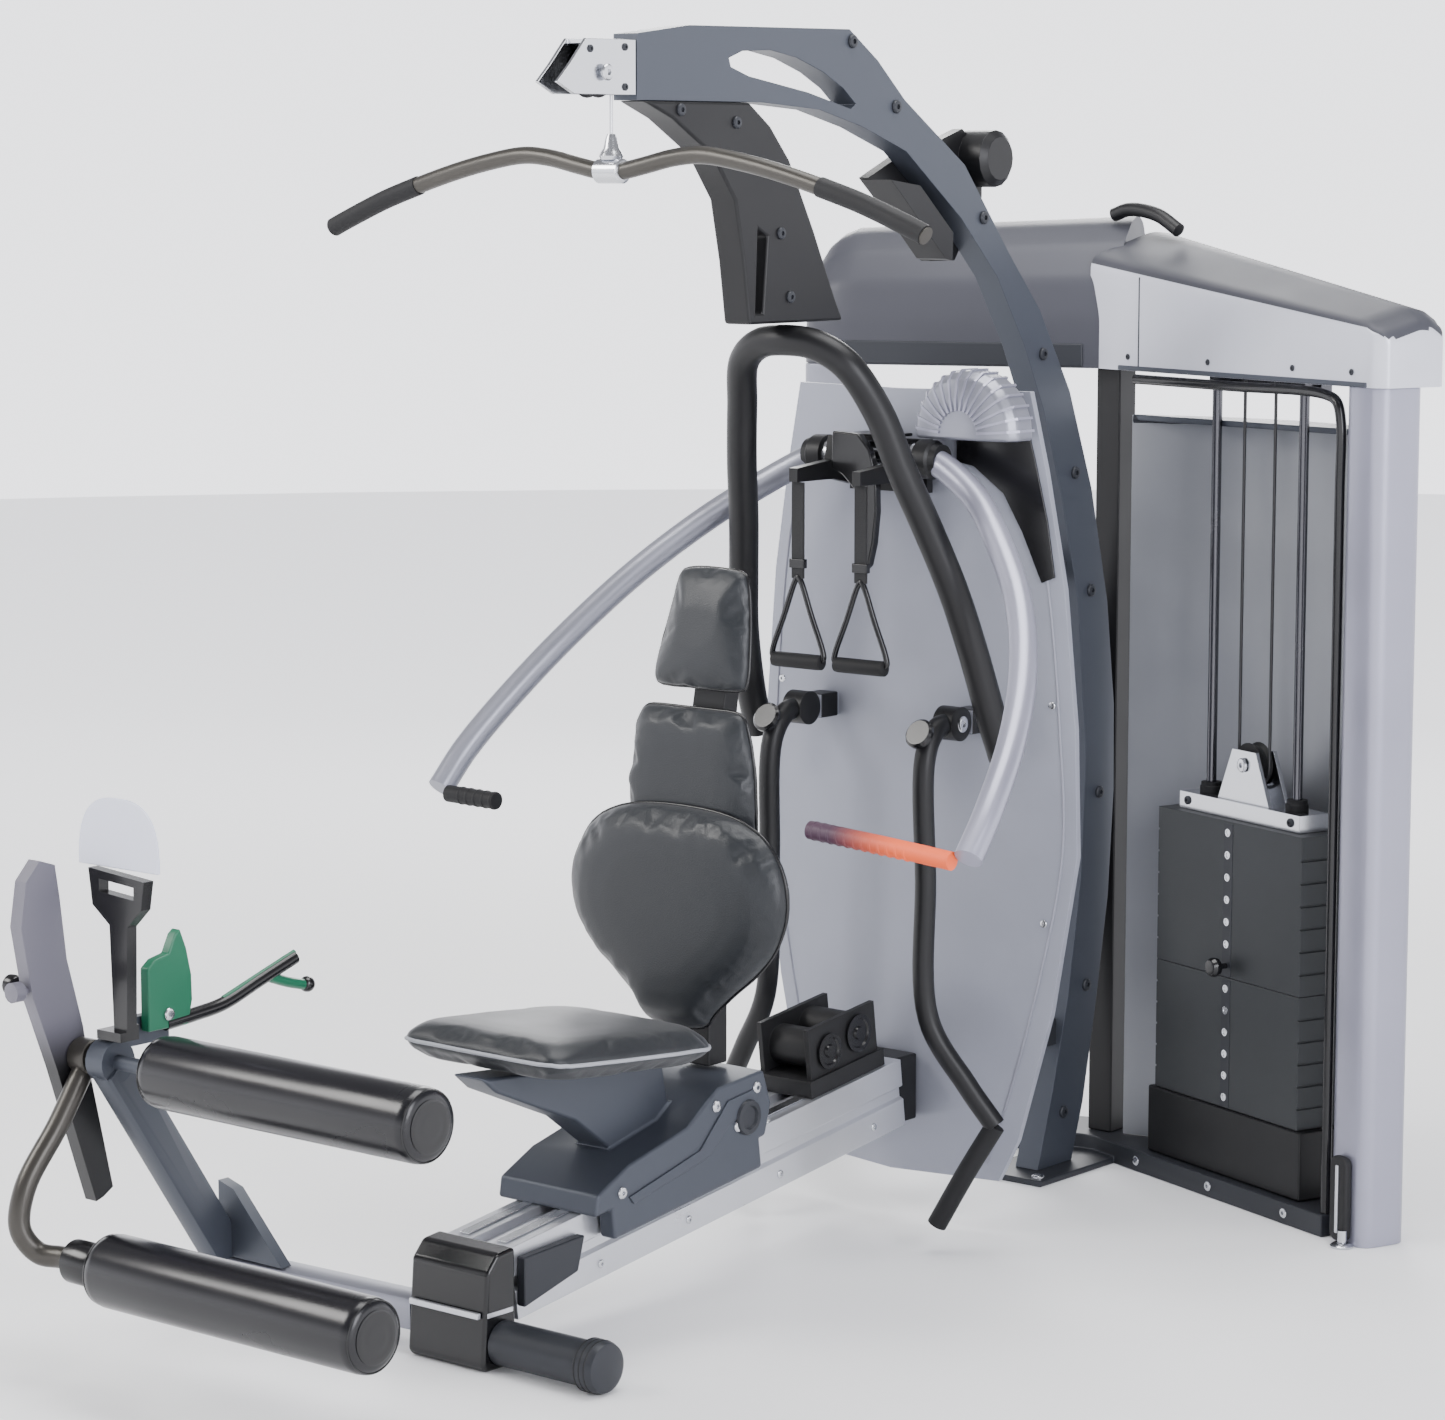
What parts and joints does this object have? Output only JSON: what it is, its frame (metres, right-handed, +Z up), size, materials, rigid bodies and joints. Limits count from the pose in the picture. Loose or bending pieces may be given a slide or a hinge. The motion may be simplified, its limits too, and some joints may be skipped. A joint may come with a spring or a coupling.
{
  "type": "multi station home gym",
  "caption": "Multi station home gym: weight-stack tower with lat pulldown arch, press arms, strap handles, row arms, sliding seat on a rail and leg extension rollers.",
  "frame": {"origin": "on the floor under the tower's foot plate, on the machine's centre plane", "axes": "+Z up, +Y from the leg unit to the tower, so the user sits facing -Y, and +X to the weight-stack side"},
  "size_m": [1.4358, 2.5213, 2.082],
  "materials": {
    "slate": "satin slate powder coat",
    "black_frame": "satin black powder coat",
    "dark_frame": "dark grey powder coat",
    "silver": "satin silver-lilac powder coat",
    "rail_aluminium": "brushed anodised",
    "shell": "fine-textured silver-grey moulding",
    "black_plastic": "moulded black",
    "black_rubber": "ribbed rubber and webbing",
    "weight_plates": "painted iron",
    "steel": "bright plated",
    "cable": "coated cable",
    "bronze_bar": "dark bronze tube",
    "vinyl": "charcoal grained vinyl",
    "orange_grip": "orange grip",
    "green_lever": "green moulded",
    "white_card": "blank pale card"
  },
  "bodies": {
    "frame": {"base_frame": "dark_frame", "column_right": "silver", "column_left": "silver", "foot_cover_right": "black_plastic", "arch_frame": "slate", "mast": "black_frame", "mast_bracket": "black_frame", "hood_right": "shell", "hood_left": "shell", "stack_shield": "shell", "inner_frame_tube": "black_frame", "stack_pedestal": "black_frame", "plates_resting": "weight_plates", "guide_rods": "steel", "head_housing": "steel", "boom": "black_frame", "fork": "black_frame", "shroud_panel": "shell", "shroud_bracket": "dark_frame", "press_cowl": "silver", "press_bracket": "black_frame", "rail": "rail_aluminium", "rail_front_cap": "black_plastic", "rail_rear_mount": "black_frame", "rail_gusset": "dark_frame", "stabiliser": "dark_frame", "lateral_beam": "silver", "pulley_block": "black_frame", "leg_post": "slate", "grab_handle": "black_frame", "placard": "white_card"},
    "stack": {"plates_selected": "weight_plates", "stack_head": "steel", "stack_cable": "cable"},
    "stack_wheel": {"stack_pulley": "black_plastic"},
    "pin": {"selector_pin": "black_plastic"},
    "head_wheel": {"head_pulley": "black_plastic"},
    "lat": {"lat_bar": "bronze_bar", "lat_swivel": "steel", "lat_cable": "cable"},
    "press": {"press_hub": "steel", "press_arm_left": "silver", "press_arm_right": "silver", "press_grip_left": "black_rubber", "press_grip_right": "orange_grip"},
    "strap_left": {"strap_handle_left": "black_rubber"},
    "strap_right": {"strap_handle_right": "black_rubber"},
    "row_left": {"row_arm_left": "black_frame"},
    "row_right": {"row_arm_right": "black_frame"},
    "seat": {"carriage": "slate", "seat_pad": "vinyl", "back_post": "black_frame", "back_pad": "vinyl"},
    "head_pad": {"headrest": "vinyl"},
    "leg": {"leg_arm": "bronze_bar", "range_lever": "slate"},
    "upper_roll": {"upper_roller": "vinyl"},
    "lower_roll": {"lower_roller": "vinyl"},
    "start": {"start_lever": "green_lever"}
  },
  "joints": [
    {"name": "stack_lift", "type": "slide", "parent": "frame", "child": "stack", "axis": [0, 0, 1], "range_m": [0, 0.4], "deforming": ["stack_cable"]},
    {"name": "stack_pulley_spin", "type": "hinge", "parent": "stack", "child": "stack_wheel", "pos_m": [0.38527, 0.00977, 0.79], "axis": [0.342, 0.9397, 0], "continuous": true},
    {"name": "selector_pin_pull", "type": "slide", "parent": "stack", "child": "pin", "axis": [-0.342, -0.9397, 0], "range_m": [0, 0.05]},
    {"name": "lat_pull", "type": "slide", "parent": "frame", "child": "lat", "axis": [0, 0, -1], "range_m": [0, 0.8], "deforming": ["lat_cable"]},
    {"name": "head_pulley_spin", "type": "hinge", "parent": "frame", "child": "head_wheel", "pos_m": [0, -1.34, 2], "axis": [1, 0, 0], "continuous": true},
    {"name": "press_swing", "type": "hinge", "parent": "frame", "child": "press", "pos_m": [0, -0.61, 1.36], "axis": [-1, 0, 0], "range_deg": [0, 50]},
    {"name": "strap_left_swing", "type": "hinge", "parent": "frame", "child": "strap_left", "pos_m": [-0.068, -0.737, 1.32], "axis": [1, 0, 0], "range_deg": [-30, 15]},
    {"name": "strap_right_swing", "type": "hinge", "parent": "frame", "child": "strap_right", "pos_m": [0.068, -0.737, 1.32], "axis": [1, 0, 0], "range_deg": [-30, 15]},
    {"name": "row_left_swing", "type": "hinge", "parent": "frame", "child": "row_left", "pos_m": [-0.165, -0.606, 0.91], "axis": [-1, 0, 0], "range_deg": [0, 30]},
    {"name": "row_right_swing", "type": "hinge", "parent": "frame", "child": "row_right", "pos_m": [0.165, -0.606, 0.91], "axis": [-1, 0, 0], "range_deg": [0, 30]},
    {"name": "seat_slide", "type": "slide", "parent": "frame", "child": "seat", "axis": [0, 0.9919, 0.1271], "range_m": [-0.03, 0.06]},
    {"name": "headrest_height", "type": "slide", "parent": "seat", "child": "head_pad", "axis": [0, 0.1942, 0.981], "range_m": [0, 0.05]},
    {"name": "leg_swing", "type": "hinge", "parent": "frame", "child": "leg", "pos_m": [-0.44, -2.03, 0.486], "axis": [-1, 0, 0], "range_deg": [0, 70]},
    {"name": "upper_roller_spin", "type": "hinge", "parent": "frame", "child": "upper_roll", "pos_m": [0, -2.03, 0.486], "axis": [1, 0, 0], "continuous": true},
    {"name": "lower_roller_spin", "type": "hinge", "parent": "leg", "child": "lower_roll", "pos_m": [0, -2.145, 0.2], "axis": [1, 0, 0], "continuous": true},
    {"name": "start_lever_push", "type": "hinge", "parent": "frame", "child": "start", "pos_m": [-0.382, -1.925, 0.528], "axis": [-1, 0, 0], "range_deg": [0, 12]}
  ],
  "couplings": [
    {"joint": "lat_pull", "follows": "stack_lift", "ratio": 2},
    {"joint": "stack_pulley_spin", "follows": "stack_lift", "rad_per_m": 25},
    {"joint": "head_pulley_spin", "follows": "stack_lift", "rad_per_m": -50}
  ]
}
